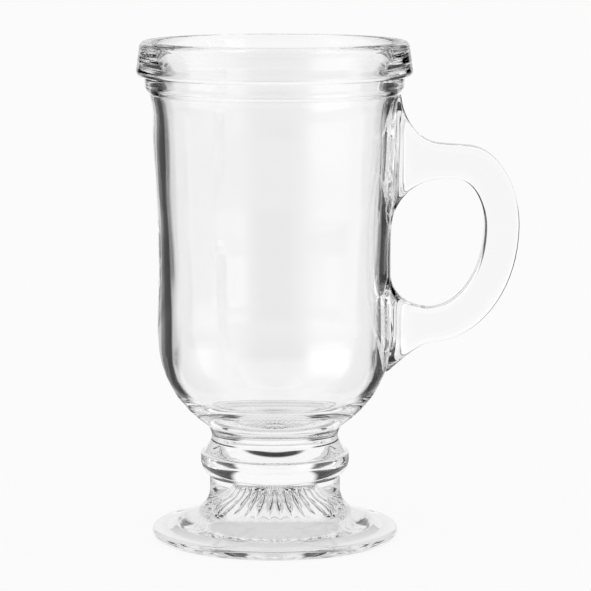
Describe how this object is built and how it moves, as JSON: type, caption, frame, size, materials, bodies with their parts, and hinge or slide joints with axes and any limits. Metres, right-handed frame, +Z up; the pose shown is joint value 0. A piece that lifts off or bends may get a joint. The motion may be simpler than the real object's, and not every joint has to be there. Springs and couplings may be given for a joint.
{
  "type": "irish coffee glass",
  "caption": "Footed clear glass mug: a rounded bowl with a banded rim, a short knopped stem, a hollow fluted foot and a flat D-shaped handle.",
  "frame": {"origin": "on the table, under the middle of the whole outline; the glass's own axis is vertical and 15.6 mm from it towards -X", "axes": "+Z up along the height, +X towards the handle, -Y towards the viewer of the front"},
  "size_m": [0.1116, 0.0804, 0.146],
  "materials": {
    "clear_glass": "fire-polished pressed soda-lime glass, colourless"
  },
  "bodies": {
    "root": {"bowl": "clear_glass", "stem": "clear_glass", "foot": "clear_glass", "handle": "clear_glass"}
  },
  "joints": []
}
